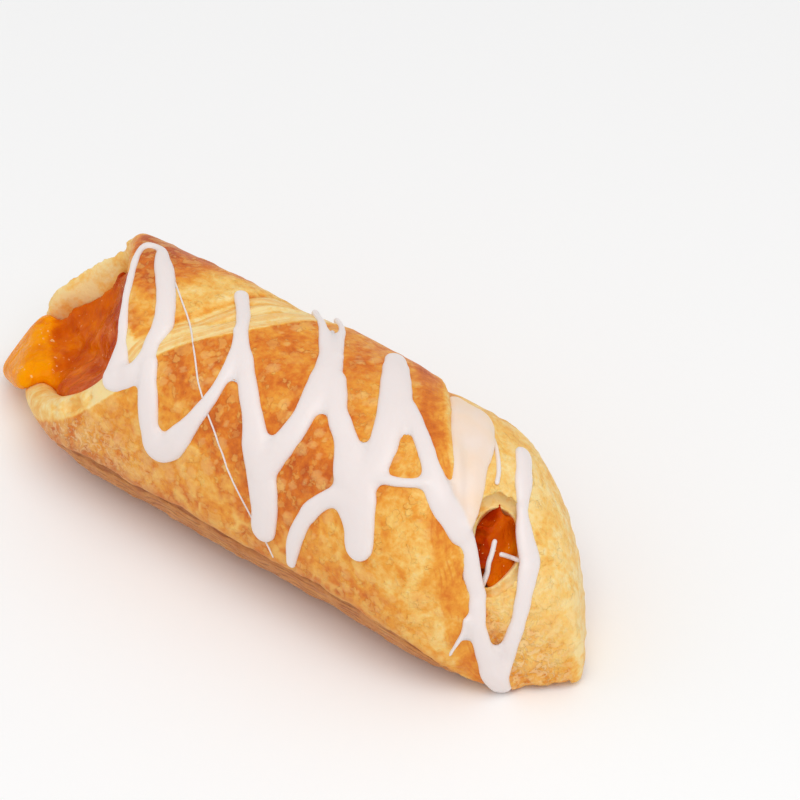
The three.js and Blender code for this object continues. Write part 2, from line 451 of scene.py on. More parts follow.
def lay_on(surfaces, route, lowest=0.955):
    """Points in millimetres where a route of places (x, angle, ...) lies on the surfaces.

    The angle is seen from the middle of the roll. The route bridges narrow gaps, and stays above
    the lowest level given.
    """
    turn = np.radians(route[:, 1])
    outward = np.stack((0 * turn, -np.sin(turn), -np.cos(turn)), axis=1)
    middle = np.outer(route[:, 0], (1, 0, 0)) + (0, MIDDLE_Y + BODY_LEAN, WIDEST_AT)
    reach = []
    for start, way in zip(middle, outward):
        way = Vector(way)
        start = Vector(start) * MM + way * OUTSIDE * MM
        hits = [surface.ray_cast(start, -way)[3] for surface in surfaces]
        reach.append(max(OUTSIDE - hit / MM for hit in hits if hit is not None))
    reach = windows(windows(reach, GAP_STOPS).max(axis=1), GAP_STOPS).min(axis=1)
    reach = windows(reach, 2).mean(axis=1)
    for _ in range(12):
        laid = outward * reach[:, None] + middle
        reach = reach * (1 + 0.6 * np.maximum(lowest - Skin(laid * MM).level, 0))
    return laid


# ---- materials


def paint(red, green, blue):
    """A colour given from 0 to 255, as a screen shows it, as Blender's linear one."""
    def linear(value):
        value /= 255
        return value / 12.92 if value <= 0.04045 else ((value + 0.055) / 1.055) ** 2.4

    return (linear(red), linear(green), linear(blue), 1.0)


class Paintbox:
    """Builds one node material."""

    def __init__(self, name):
        self.material = bpy.data.materials.new(name)
        self.material.use_nodes = True
        self.tree = self.material.node_tree
        self.shader = self.tree.nodes["Principled BSDF"]
        self.place = self.put("TexCoord").outputs["Object"]

    def put(self, kind, inputs=(), **settings):
        made = self.tree.nodes.new("ShaderNode" + kind)
        for key, value in settings.items():
            setattr(made, key, value)
        for key, value in dict(inputs).items():
            self.set(made.inputs[key], value)
        return made

    def set(self, socket, value):
        if isinstance(value, bpy.types.NodeSocket):
            self.tree.links.new(value, socket)
        else:
            socket.default_value = value

    def value(self, name):
        return self.put("Attribute", attribute_name=name).outputs["Fac"]

    def noise(self, size_mm, detail=3.0, rough=0.55, warp=0.0, stretch=None):
        inputs = {"Vector": self.place, "Scale": 1 / (size_mm * MM), "Detail": detail}
        inputs.update({"Roughness": rough, "Distortion": warp})
        if stretch:
            scaled = self.put("Mapping", {"Vector": self.place, "Scale": stretch})
            inputs["Vector"] = scaled.outputs[0]
        return self.put("TexNoise", inputs).outputs["Fac"]

    def patches(self, size_mm, share):
        """Irregular patches with clear outlines, on the given share of the surface."""
        inputs = {"Vector": self.place, "Scale": 2 / (size_mm * MM), "Detail": 2}
        warp = self.put("TexNoise", inputs).outputs["Color"]
        inputs = {0: warp, "Scale": size_mm * MM * 0.9}
        shift = self.put("VectorMath", inputs, operation="SCALE").outputs[0]
        place = self.put("VectorMath", {0: self.place, 1: shift}, operation="ADD")
        inputs = {"Vector": place.outputs[0], "Scale": 1 / (size_mm * MM)}
        cells = self.put("TexVoronoi", inputs, feature="F1")
        edges = self.put("TexVoronoi", inputs, feature="DISTANCE_TO_EDGE")
        parts = self.put("SeparateColor", {"Color": cells.outputs["Color"]})
        strength = self.times(self.maths("LESS_THAN", parts.outputs[0], share), parts.outputs[1])
        return self.times(strength, self.span(edges.outputs["Distance"], 0.03, 0.16))

    def layers(self, name, shown):
        """Lines between the layers that the named number counts, 1 on each line."""
        turn = self.times(self.value(name), 2 * math.pi)
        return self.times(self.span(self.maths("SINE", turn), 0.1, 1), self.value(shown))

    def bands(self, name, shown):
        """Broad bands of uneven strength along the layers that the named number counts."""
        inputs = {"W": self.value(name), "Scale": 1.6, "Detail": 2}
        bands = self.put("TexNoise", inputs, noise_dimensions="1D").outputs["Fac"]
        return self.times(self.span(bands, 0.42, 0.62), self.value(shown))

    def maths(self, operation, first, second=0.0):
        return self.put("Math", {0: first, 1: second}, operation=operation).outputs[0]

    def times(self, first, second):
        return self.maths("MULTIPLY", first, second)

    def span(self, value, low, high, to_low=0.0, to_high=1.0, smooth=True):
        """The value with its range from low to high moved to another, and nothing beyond it."""
        inputs = {"Value": value, "From Min": low, "From Max": high}
        inputs.update({"To Min": to_low, "To Max": to_high})
        kind = "SMOOTHSTEP" if smooth else "LINEAR"
        return self.put("MapRange", inputs, interpolation_type=kind).outputs["Result"]

    def mix(self, share, first, second, strength=None):
        """The second colour over the first, by its share of the surface and its strength."""
        share = self.times(share, strength) if strength else share
        inputs = {0: share, 6: first, 7: second}
        return self.put("Mix", inputs, data_type="RGBA").outputs[2]

    def ramp(self, value, stops):
        made = self.put("ValToRGB", {"Fac": value})
        elements = made.color_ramp.elements
        elements[0].position, elements[0].color = stops[0]
        elements[1].position, elements[1].color = stops[-1]
        for position, colour in stops[1:-1]:
            elements.new(position).color = colour
        return made.outputs["Color"]

    def bump(self, height, depth_mm, normal=None):
        inputs = {"Height": height, "Distance": depth_mm * MM, "Strength": 1}
        if normal:
            inputs["Normal"] = normal
        return self.put("Bump", inputs).outputs["Normal"]

    def finish(self, **inputs):
        for key, value in inputs.items():
            self.set(self.shader.inputs[key.replace("_", " ")], value)
        return self.material


def crust_material(colours):
    """Baked dough: golden to brown by how much it was baked, with paler patches of film, a line of
    painted shade at the foot of the flap's right edge and painted crevice shade along the seam.
    """
    box = Paintbox("baked crust")
    mottle = box.noise(5.0, 4, 0.62, 0.6)
    fine = box.noise(1.2, 3, 0.6)
    # The baked tone also carries the painted shade at the foot of the flap's right edge.
    baked = box.maths("ADD", box.value("bake"), box.span(mottle, 0.28, 0.72, -0.22, 0.22, False))
    baked = box.maths("ADD", baked, box.span(fine, 0.3, 0.7, -0.13, 0.13, False))
    tones = (colours.raw, colours.pale, colours.golden, colours.brown, colours.deep)
    colour = box.ramp(baked, tuple(zip((0.0, 0.22, 0.45, 0.72, 1.0), tones)))
    # Films and blisters of the top layer, and scales where it has dried.
    patch = box.maths("MAXIMUM", box.patches(2.7, 0.35), box.patches(1.3, 0.45))
    film = box.times(patch, box.value("whole"))
    blister = box.value("blister")
    rim = box.span(box.maths("ABSOLUTE", box.maths("SUBTRACT", blister, 0.45)), 0.4, 0.1)
    colour = box.mix(film, colour, colours.pale, 0.4)
    colour = box.mix(blister, colour, colours.film, 0.34)
    colour = box.mix(rim, colour, colours.raw, 0.06)
    scales = box.span(box.noise(1.5, 3, 0.6, 1.5), 0.5, 0.54)
    scales = box.times(scales, box.value("scaly"))
    colour = box.mix(scales, colour, colours.scale, 0.55)
    # The layers in the flap's cut edge and inside its right edge.
    cut = box.times(box.layers("cut_layers", "cut"), box.span(box.noise(2.5), 0.35, 0.6))
    edge = box.times(box.layers("edge_layers", "edge"), box.span(box.noise(3.0), 0.4, 0.6))
    colour = box.mix(box.bands("cut_layers", "cut"), colour, colours.golden, 0.45)
    colour = box.mix(cut, colour, colours.golden, 0.45)
    colour = box.mix(edge, colour, colours.brown, 0.5)
    colour = box.mix(box.value("torn"), colour, colours.pale)
    # The rough base with its dark layer lines, and the seam above it, where a dark line is painted
    # shade in the crevice under the overhang.
    streaks = box.noise(1.6, 5, 0.7, stretch=(0.5, 1, 1))
    under = box.mix(box.span(streaks, 0.3, 0.7, 0, 1, False), colours.base_dark, colours.base)
    base_lines = box.layers("base_layers", "under")
    base_lines = box.times(base_lines, box.span(box.noise(4.0), 0.35, 0.6))
    under = box.mix(base_lines, under, colours.crack_and_shade, 0.5)
    colour = box.mix(box.value("under"), colour, under)
    colour = box.mix(box.value("seam"), colour, colours.crack_and_shade, 0.8)
    normal = box.bump(box.maths("ADD", cut, edge), 0.05)
    normal = box.bump(base_lines, -0.12, normal)
    normal = box.bump(box.maths("MAXIMUM", film, scales), 0.12, normal)
    normal = box.bump(box.noise(0.7, 3, 0.6), 0.16, normal)
    return box.finish(
        Base_Color=colour,
        Roughness=box.span(mottle, 0.3, 0.7, 0.4, 0.55, False),
        Specular_IOR_Level=0.3,
        Normal=normal,
        IOR=1.45,
        Subsurface_Weight=0.1,
        Subsurface_Radius=(1.0, 0.45, 0.18),
        Subsurface_Scale=1.5 * MM,
    )


def filling_material(colours):
    """Cooked apricot in gel: wet and partly see-through, with painted shade that darkens it deep in
    the mouth and the pocket, and painted glints.
    """
    box = Paintbox("apricot filling")
    lumps = box.noise(4.0, 3, 0.55, 0.4)
    # The 'deep' number is painted shade, made uneven by the lumps; the ramp runs from the lit tone to
    # the shaded one.
    deep = box.maths("ADD", box.value("deep"), box.span(lumps, 0.3, 0.7, -0.25, 0.25, False))
    tones = (colours.bright, colours.orange, colours.amber, colours.dark)
    colour = box.ramp(deep, tuple(zip((0.0, 0.45, 0.75, 1.0), tones)))
    # Painted glints: small pale specks in the colour that stand in for highlights.
    painted_glint = box.span(box.noise(0.8, 2), 0.65, 0.71)
    painted_glint = box.times(painted_glint, box.span(box.noise(3.5, 2), 0.48, 0.58))
    colour = box.mix(painted_glint, colour, colours.painted_glint, 0.7)
    normal = box.bump(box.noise(2.2, 2, 0.5, 0.6), 0.6)
    normal = box.bump(box.noise(0.5, 2, 0.5), 0.06, normal)
    return box.finish(
        Base_Color=colour,
        Roughness=box.span(lumps, 0.35, 0.65, 0.12, 0.3, False),
        Specular_IOR_Level=0.3,
        Normal=normal,
        IOR=1.15,
        Subsurface_Weight=0.25,
        Subsurface_Radius=(1.0, 0.35, 0.08),
        Subsurface_Scale=2 * MM,
    )


def icing_material(colours):
    """Sugar glaze: off-white, soft, and letting the crust through where it is thin."""
    box = Paintbox("sugar icing")
    thin = box.times(box.value("thin"), box.span(box.noise(9.0, 2), 0.3, 0.7, 0.45, 1))
    colour = box.mix(thin, colours.icing, colours.thin)
    normal = box.bump(box.noise(3.0, 2, 0.5), 0.12)
    return box.finish(
        Base_Color=colour,
        Roughness=0.38,
        Normal=normal,
        IOR=1.45,
        Subsurface_Weight=0.3,
        Subsurface_Radius=(1.0, 0.85, 0.75),
        Subsurface_Scale=1.2 * MM,
    )


# ---- sizes and colours


def colour_property(name, red, green, blue):
    return bpy.props.FloatVectorProperty(
        name=name,
        description=f"{name}, as linear light",
        subtype="COLOR",
        size=4,
        min=0,
        max=1,
        default=paint(red, green, blue),
    )


def number_property(name, description, default, **kind):
    return bpy.props.FloatProperty(name=name, description=description, default=default, **kind)


def length_property(name, description, default):
    return number_property(name, description, default, unit="LENGTH", min=0, precision=5)


def angle_property(name, description, degrees):
    return number_property(name, description, math.radians(degrees), subtype="ANGLE")


class CrustSettings(bpy.types.PropertyGroup):
    grain: length_property("Grain", "Size of the crust's faces", 0.56 * MM)
    blister: length_property("Blister", "Radius of a middling blister", 0.75 * MM)
    blisters: bpy.props.IntProperty(
        name="Blisters", description="How many blisters the crust has", default=1300, min=0
    )
    raw: colour_property("Raw layers", 250, 222, 156)
    pale: colour_property("Pale crust", 248, 198, 106)
    golden: colour_property("Golden crust", 240, 163, 56)
    brown: colour_property("Browned crust", 222, 120, 30)
    deep: colour_property("Deep crust", 192, 84, 20)
    film: colour_property("Blisters", 250, 206, 128)
    scale: colour_property("Dry scales", 252, 214, 158)
    base: colour_property("Base", 220, 156, 86)
    base_dark: colour_property("Base, darkest", 190, 112, 58)
    # Dark lines between the base's layers, and the painted shade in the crevice at the seam.
    crack_and_shade: colour_property("Cracks", 146, 72, 36)


class FillingSettings(bpy.types.PropertyGroup):
    grain: length_property("Grain", "Size of the filling's faces", 0.6 * MM)
    lump: length_property("Lump", "Height of the apricot's lumps", 0.9 * MM)
    # From bright to dark: the filling in full light and in painted shade, picked by the 'deep' number.
    bright: colour_property("Bright filling", 255, 158, 0)
    orange: colour_property("Orange filling", 222, 104, 4)
    amber: colour_property("Amber filling", 202, 80, 2)
    dark: colour_property("Dark filling", 172, 44, 0)
    # The colour of the painted glints on the filling.
    painted_glint: colour_property("Glints", 255, 214, 160)


class IcingSettings(bpy.types.PropertyGroup):
    grain: length_property("Grain", "Size of the icing's faces", 0.34 * MM)
    thickness: length_property("Thickness", "Greatest thickness of a strand", 1.4 * MM)
    icing: colour_property("Icing", 240, 229, 226)
    thin: colour_property("Thin icing", 248, 218, 190)


class StageSettings(bpy.types.PropertyGroup):
    azimuth: angle_property("Azimuth", "Turn of the camera from the near side to the toe", 42)
    elevation: angle_property("Elevation", "Height of the camera above the floor", 40)
    distance: length_property("Distance", "From the camera to the pastry", 0.9)
    floor: colour_property("Floor", 253, 253, 253)


# ---- crust


def terraces(share, count):
    """A slope from 0 to 1 made of steps."""
    rise = np.clip(share, 0, 1) * count
    return (np.floor(rise) + ease(rise % 1, 0.25, 0.95)) / count


class Relief:
    """The crust's surface: heights above the smooth roll, and numbers for its material."""

    def __init__(self, skin):
        self.skin = skin
        self.mm = skin.points
        self.noise = {size: cloud(self.mm, size, 70 + size) for size in (3, 6, 9, 19)}
        x, angle = skin.x, skin.angle
        foot = MOUTH_TIP + line_at(MOUTH_EDGE, angle)
        foot = np.where(angle < CROSSING, foot, line_at(CUT_FOOT, angle))
        top = line_at(CUT_TOP, angle) + 0.5 * self.noise[9]
        # 0 at the foot of the cut edge's slope, 1 at its top, and more on top of the flap.
        self.share = (x - foot) / (top - foot)
        self.right = skin.from_flap_right()
        fade = band(angle, 37, 65, FLAP_CORNER - 8, FLAP_CORNER)
        self.flap = fade * ease(self.right, -0.9, 0.9)
        self.cut = band(self.share, -0.06, 0.04, 0.96, 1.04) * self.flap * skin.outer
        # The strip of layers that shows along the flap's right edge.
        self.strip = band(self.right, 0.2, 1.2, 4, 6.5) * fade * skin.outer
        self.strip = self.strip * ease(self.share, 1.3, 2)
        # The lip is wide round the mouth, and narrow on top.
        lip = 4.2 - 3.6 * band(angle, 140, 152, 205, 225)
        self.lip = ease(skin.from_mouth, lip + 0.8 * self.noise[6], lip - 1.6)
        self.inner = ease(skin.level, 0.87, 0.78) * (1 - self.lip)
        seam = line_at(SEAM, x) + 2.5 * cloud(self.mm, 4, 62) + 2 * self.noise[9]
        self.below = (seam - np.where(angle < 180, angle, 360 - angle)) * MM_PER_DEGREE
        self.seam = band(x, MOUTH_TIP + 15, MOUTH_TIP + 28, TOE_TIP - 20, TOE_TIP - 9) * skin.outer

    def height(self):
        skin, noise, share = self.skin, self.noise, self.share
        # The flap stands above the skin, and slopes down over its cut edge and its right edge.
        rise = terraces(share + 0.12 * noise[9], 3)
        wanted = FLAP_STEP * self.flap * np.where(skin.angle < CROSSING, 0.45 + 0.55 * rise, rise)
        wanted -= 0.5 * self.strip * ease(self.right, 5, 0.5)
        gutter = bell(self.right, -1.6, 1.1) * ease(skin.angle, 60, 80)
        wanted -= 0.45 * gutter * ease(skin.angle, FLAP_CORNER, FLAP_CORNER - 20)
        held = skin.outer * ease(skin.from_mouth, 1.5, 4.5)
        height = np.clip(wanted - skin.above, -2, 2) * held
        # The fold behind the cut edge is creased, and ripples towards it.
        height -= 0.5 * self.creases() * skin.outer
        beside = band(share, -0.75, -0.1, -0.1, 0.05) * (skin.angle > 140)
        height += 0.16 * beside * np.sin(share * 14 + 2.2 * noise[9]) * skin.outer
        # The crust overhangs the rough base at the seam.
        height -= self.seam * 1.1 * bell(self.below, 0.8, 0.8)
        height += self.seam * 0.35 * bell(self.below, -1.6, 1.6)
        height -= self.seam * 0.45 * band(self.below, 0.2, 1.2, 4, 8)
        # Baked dough is softly uneven, and swells behind the loop of icing. Its back lip is wavy.
        height += (0.4 * noise[19] + 0.18 * noise[6]) * (0.3 + 0.7 * skin.outer)
        height += skin.hill(-22, 207, 16, 20)
        back = np.maximum(self.lip, self.inner * ease(skin.from_mouth, 12, 6))
        height += 0.8 * back * cloud(self.mm, 8, 64) * ease(skin.angle, 205, 235)
        return height

    def room(self):
        """1 where the dough's top layer is whole, and 0 over its cut edges."""
        return self.skin.outer * (1 - self.lip) * (1 - self.cut) * (1 - self.strip)

    def creases(self):
        away = [self.skin.from_route(stops) for stops in CREASES]
        return bell(np.min(away, axis=0), 0, 0.75)

    def flakes(self):
        """Thin sheets of the top layer that have lifted: their step, and where they are torn."""
        skin = self.skin
        far = band(skin.angle, 232, 258, 284, 300) * ease(skin.x, -42, -28)
        where = np.clip(skin.hills(FLAKY_PATCHES) + 0.6 * far, 0, 1)
        where = where * skin.outer * (1 - self.lip) * (1 - self.cut)
        sheet = 2.4 * clouds(self.mm * (0.7, 1, 1), 9, 81) + 0.5 * cloud(self.mm, 2.4, 84)
        edge = sheet % 1
        return where * (ease(edge, 0, 0.15) - edge), where * band(edge, 0, 0.08, 0.15, 0.4)

    def bake(self):
        """How browned each point is, with a line of painted shade at the foot of the flap's right
        edge: 0 is pale and 1 is the darkest.
        """
        skin, share = self.skin, self.share
        x, angle = skin.x, skin.angle
        ragged = angle + 5 * self.noise[9] + 3 * self.noise[3]
        flap = ease(ragged - line_at(FLAP_BROWN, x), -5, 26) * ease(angle, 262, 225)
        flap *= (0.3 + 0.7 * ease(x, 44, 14)) * ease(self.right, 0.5, 4) * ease(share, 0.98, 1.05)
        fold = ease(ragged - line_at(FOLD_BROWN, x), -6, 10) * ease(angle, 275, 225)
        bake = 0.43 + 0.1 * clouds(self.mm, 13, 3) + 0.38 * flap
        bake += 0.32 * fold * ease(share, -0.6, -1.1)
        # Browner patches, and darker along the creases.
        bake = skin.hills(BROWN_PATCHES, bake) + 0.3 * self.creases()
        # Browner above the seam, low by the mouth, on the far side and in the layers along the flap's
        # right edge.
        bake += 0.14 * self.seam * ease(self.below, -9, 0)
        bake += 0.14 * ease(x, 10, -25) * ease(angle, 130, 100)
        bake += 0.12 * ease(angle, 240, 280)
        # Painted shade: a dark line at the foot of the flap's right edge, where it steps down to the
        # toe.
        foot = bell(self.right, -1.3, 0.5) * ease(angle, 60, 80)
        bake += (0.27 * self.strip + 0.3 * foot * (1 - self.cut)) * skin.outer
        # Paler behind the cut edge, at the toe, on the lips and inside the mouth.
        bake -= 0.14 * ease(share, -2.5, -0.6) * ease(angle, 130, 150)
        bake -= 0.13 * ease(x, 36, 50)
        bake -= 0.4 * np.maximum(self.lip, self.cut)
        bake -= 0.1 * ease(skin.from_mouth, 9, 3) * ease(angle, 200, 225)
        bake -= self.inner * (0.12 + 0.26 * ease(x, 0, -20))
        return np.clip(bake, 0.02, 1)

    def scaly(self):
        """Where the top layer has dried in small pale scales."""
        where = self.skin.hills(SCALY_PATCHES, 0.5 * band(self.skin.angle, 225, 255, 280, 292))
        return np.clip(where, 0, 1) * self.room()

    def layers(self, place, low, high, count, wander):
        """A number that grows by one from layer to layer, and wanders by noises of some sizes."""
        total = np.clip(place, low, high) * count
        for size, strength in wander.items():
            total += strength * self.noise[size]
        return total


class PASTRY_OT_crust(bpy.types.Operator):
    """Models the baked crust: the flap and its layers, creases, blisters and browned base"""

    bl_idname = "pastry.crust"
    bl_label = "Crust"

    def execute(self, context):
        settings = context.scene.pastry_crust
        piece = copy_of(frame["nodes"]["dough"], "crust")
        remesh(piece, settings.grain)
        self.trim_cavity(piece)
        smooth(piece, 10)
        self.round_steps(piece)
        points = points_of(piece)
        relief = Relief(Skin(points))
        domes = self.blisters(points, relief, settings)
        height = relief.height() + 0.5 * relief.flakes()[0] + 0.25 * domes
        height = height * ease(relief.mm[:, 2], 0.0, 1.2)
        height = height * ease(facing_out(piece, points), 0.3, 0.75)
        raise_skin(piece, height * (1 - 0.95 * relief.skin.pocket()))
        remesh(piece, settings.grain)
        drop_specks(piece)
        smooth(piece, 2)
        smooth(piece, 22, ease(Skin(points_of(piece)).from_mouth, 8, 3))
        points = points_of(piece)
        points[:, 2] = points[:, 2].clip(0)
        piece.data.vertices.foreach_set("co", points.astype(np.float32).ravel())
        self.note_all(piece, Relief(Skin(points)), self.blisters(points, relief, settings))
        dress(piece, crust_material(settings))
        ride_and_replace(piece, "dough")
        return {"FINISHED"}

    def note_all(self, piece, relief, domes):
        """Keeps the numbers that the crust's material reads."""
        under = np.maximum(ease(relief.below, 0.0, 0.9), 0.35 * ease(relief.below, -6, 0))
        notes = {
            "bake": relief.bake(),
            "blister": domes * relief.room(),
            "whole": relief.room(),
            "scaly": relief.scaly(),
            "torn": relief.flakes()[1],
            "cut": relief.cut * ease(relief.skin.angle, 122, 138),
            "cut_layers": relief.layers(relief.share, -0.5, 1.5, 4.3, {9: 0.7, 3: 0.2}),
            "edge": relief.strip * (1 - relief.cut),
            "edge_layers": relief.layers(relief.right, -4, 10, 1.15, {6: 0.9, 3: 0.25}),
            "under": relief.seam * under,
            "base_layers": relief.layers(relief.below, -4, 14, 0.8, {6: 0.9, 9: 0.5}),
            # The seam's dark line is painted shade in the crevice under the overhanging crust.
            "seam": relief.seam * bell(relief.below, 0.9, 0.7),
        }
        for name, values in notes.items():
            note(piece, name, values)

    def round_steps(self, piece):
        """Turns the solid's sharp steps, and the pocket's rim, into soft slopes."""
        points = points_of(piece)
        skin = Skin(points)
        steep = ease(facing_out(piece, points), 0.93, 0.75) * ease(skin.from_mouth, 4, 7)
        steep = steep * ease(skin.points[:, 2], 1, 5) * ease(skin.x, TOE_TIP - 3, TOE_TIP - 8)
        smooth(piece, 45, spread(piece, steep, 5, 12) * (1 - 0.5 * skin.pocket()))

    def trim_cavity(self, piece):
        """Takes out the wall that the filling hides, between two planes, and closes both ends."""
        skin = Skin(points_of(piece))
        behind = (skin.points - MOUTH_CENTRE) @ np.array(MOUTH_OUTWARD) < -10
        hidden = (skin.level < 0.84) & behind & (skin.x < TOE_TIP - 28)
        delete_faces(piece, hidden)
        edit(piece, bpy.ops.mesh.fill_holes, sides=0)

    def blisters(self, points, relief, settings):
        """Small domes of lifted film, scattered where there is room for them."""
        skin = relief.skin
        tree = KDTree(len(points))
        for index, point in enumerate(points):
            tree.insert(point, index)
        tree.balance()
        chance = np.random.default_rng(12)
        liking = relief.room() * skin.hills(BLISTERED_PATCHES, 0.3)
        liking = liking * (0.4 + clouds(skin.points, 7, 33).clip(0, 1) * 3)
        centres = chance.choice(len(liking), settings.blisters, p=liking / liking.sum())
        domes = np.zeros(len(points))
        for centre in centres:
            radius = settings.blister * math.exp(chance.normal(0, 0.35))
            place = Vector(skin.points[centre] * MM)
            for _, index, distance in tree.find_range(place, radius):
                domes[index] = max(domes[index], min(1.0, 2.2 * (1 - (distance / radius) ** 2)))
        return domes


# ---- filling


# The edge of the piece of fruit that spills out: the way across it, and how far in it lies.
WEDGE_ACROSS = (0.74, 0.67, 0)
WEDGE_AT = 22.3
# Painted shade: the filling in the pocket darkens along this way, from its tone in the pocket's
# middle.
POCKET_MIDDLE = (TOE_TIP - 16.5, -5.3, 28)
POCKET_DARKENS = (-0.0518, -0.0469, 0.05)
POCKET_TONE = 0.8


class PASTRY_OT_filling(bpy.types.Operator):
    """Models the apricot filling, lumpy and wet, a little way into the crust's wall"""

    bl_idname = "pastry.filling"
    bl_label = "Filling"

    def execute(self, context):
        settings = context.scene.pastry_filling
        piece = copy_of(frame["nodes"]["filling"], "apricot")
        remesh(piece, settings.grain)
        smooth(piece, 12)
        skin = Skin(points_of(piece))
        mm = skin.points
        spill = ease(skin.x, MOUTH_TIP + 17, MOUTH_TIP + 8)
        lumps = 0.5 - np.abs(clouds(mm, 7, 11)) * 1.7 + 0.3 * cloud(mm, 2.6, 12)
        height = 0.7 + settings.lump / MM * lumps * (1 - 0.75 * spill) - 0.35 * spill
        height = height - 0.5 * bell(self.behind_wedge(mm), 0.9, 0.9)
        height = height * (1 - 0.6 * ease(skin.x, 0, 40)) + 1.7 * ease(skin.x, 0, 40)
        raise_skin(piece, height * ease(mm[:, 2], 0.2, 2.5))
        remesh(piece, settings.grain)
        drop_specks(piece)
        smooth(piece, 2)
        note(piece, "deep", self.deep(Skin(points_of(piece))))
        dress(piece, filling_material(settings))
        ride_and_replace(piece, "filling")
        return {"FINISHED"}

    def behind_wedge(self, mm):
        """Distance behind the edge of the piece of fruit that spills out."""
        return mm @ WEDGE_ACROSS - MOUTH_TIP - WEDGE_AT

    def deep(self, skin):
        """Painted shade, with uneven tone: 0 where the filling is thin and bright, up to 1 deep in the
        mouth and the pocket, where it is painted dark.
        """
        x, _, z = skin.points.T
        # In the mouth, the filling behind the spilled wedge's edge, and up under the roof, is painted
        # into shade.
        mouth = 0.02 + 0.5 * ease(self.behind_wedge(skin.points), -1.2, 1)
        mouth = mouth + 0.3 * ease(z, 13, 29) * ease(x, MOUTH_TIP + 8, MOUTH_TIP + 20)
        pocket = POCKET_TONE + (skin.points - POCKET_MIDDLE) @ POCKET_DARKENS
        return np.clip(np.where(x > 0, pocket, mouth) + 0.12 * clouds(skin.points, 5, 18), 0, 1)


# ---- icing

# Each strand goes through these places: millimetres along, degrees round, and half its width.
STRANDS = {
    "loop at the mouth": (
        (-25.5, 127, 2.5), (-26, 134, 2), (-28, 144, 1), (-31, 156, 0.75), (-35, 172, 0.5),
        (-38.7, 187, 0.4), (-39.8, 196, 0.45), (-37, 198, 0.55), (-34, 191, 1.15), (-30, 182, 1.7),
        (-25, 169, 1.7), (-22, 158, 1.8), (-21.5, 150, 1.5), (-20.5, 143, 1.45), (-21, 137, 1.4),
        (-22, 132, 2), (-24.5, 127, 2.4),
    ),
    "first fall": (
        (-19, 140, 1.6), (-16.5, 127, 1.9), (-14.5, 115, 2.1), (-12.5, 108, 2.5), (-9.5, 111, 2.4),
        (-7, 121, 1.95), (-5, 133, 1.25), (-4, 145, 1), (-4.5, 157, 1), (-6.5, 167, 0.9),
        (-10, 179, 1.05), (-16, 194, 1),
    ),
    "second fall": (
        (-8, 172, 1), (-2.5, 160, 1.25), (2, 149, 1.6), (6, 139, 1.95), (9, 129, 2.6),
        (12, 118, 2.8), (13.5, 107, 2.7), (13.7, 97, 2.5),
    ),
    "second rise": (
        (11.5, 123, 2.4), (13, 134, 2.35), (14, 144, 2.1), (14, 155, 2.1), (13, 167, 2.7),
        (10, 180, 2), (5, 191, 1), (-0.5, 203, 0.5), (-5, 213, 0.4),
    ),
    "second rise's fork": ((10, 184, 1.2), (7.5, 193, 0.6), (3.5, 206, 0.4), (-1, 216, 0.3)),
    "third fall": (
        (13.8, 172, 2.1), (19, 160, 1.9), (24, 151, 1.9), (28, 141, 3.1), (31.5, 131, 3.8),
        (33.8, 122, 3.3), (34.8, 115, 3),
    ),
    "hook": (
        (29.5, 131, 2.3), (26, 126, 1.5), (23, 116, 1.5), (21, 101, 1.35), (20.3, 86, 0.9),
    ),
    "third rise": (
        (31, 139, 3.3), (31.4, 151, 2.8), (29.5, 163, 2.5), (26.5, 176, 2.7), (22, 189, 2.5),
        (17, 203, 1.8),
    ),
    "fourth fall": (
        (25, 181, 2), (30, 176, 1.35), (36, 167, 1.25), (41, 158, 1.45), (45.2, 149, 2.2),
        (48.5, 143, 2.1), (51.4, 135, 1.35), (53.3, 119, 1.45), (55.6, 98, 1.25), (57.2, 75, 1.3),
        (58.5, 54, 1.8), (59.3, 44, 1.9), (59.4, 38, 1.8),
    ),
    "bridge": ((33.5, 144, 0.9), (38, 146.5, 0.6), (42, 151, 0.7)),
    "pool": (
        (31, 205, 1.2), (36, 198, 3.4), (41.8, 187, 2.9), (45.2, 175, 1.9), (48.2, 161, 1.5),
        (50, 147, 1.1),
    ),
    "pool's side": ((34.5, 193, 0.7), (39.8, 177, 1), (45.3, 161, 0.8), (48, 150, 0.7)),
    "last fall": (
        (47, 206, 1.6), (51, 193, 1.45), (54, 180, 0.95), (56.1, 170, 1.6), (58.8, 155, 1.85),
        (60, 135, 1.5), (60.7, 113, 1.25), (61, 78, 1.2), (60, 53, 1.5), (59.6, 44, 1.7),
    ),
    "branch": ((55, 92, 0.35), (54.5, 80, 0.15), (53, 68, 0.02)),
}


def smooth_route(stops, steps):
    """Places between the stops, along a curve that goes through every one of them."""
    stops = np.array(stops, float)
    padded = np.vstack((2 * stops[0] - stops[1], stops, 2 * stops[-1] - stops[-2]))
    route = [
        (2 * b + (c - a) * t + (2 * a - 5 * b + 4 * c - d) * t**2 + (3 * b - a - 3 * c + d) * t**3) / 2
        for a, b, c, d in zip(padded, padded[1:], padded[2:], padded[3:])
        for t in np.linspace(0, 1, steps, endpoint=False)
    ]
    return np.array([*route, stops[-1]])


WEB = 0.65                    # radius that fills the corners where strands meet
SMOOTHED_OFF = 0.3            # what smoothing takes off each side of a strand
POOL_THICKNESS = 0.75

# Thin threads of icing: millimetres along and degrees round, then how thick the thread is.
THREADS = {
    "long thread": (
        0.17,
        (
            (-29.5, 185), (-23, 174), (-17.8, 165), (-12, 153), (-7.9, 143), (-4.3, 135),
            (-0.8, 128), (2.3, 121), (5.2, 113), (8.4, 105), (11, 98), (13.7, 91), (15.9, 83),
        ),
    ),
    "pocket streak": (0.48, ((53.3, 149), (53.6, 143), (53.9, 135), (54.1, 122), (54, 112))),
    "drip": (0.42, ((41, 197), (44, 192.5), (46.4, 187), (48, 182), (49.3, 176))),
    "pocket dash": (0.42, ((57, 149), (55.6, 148), (55, 146), (54.5, 144))),
}


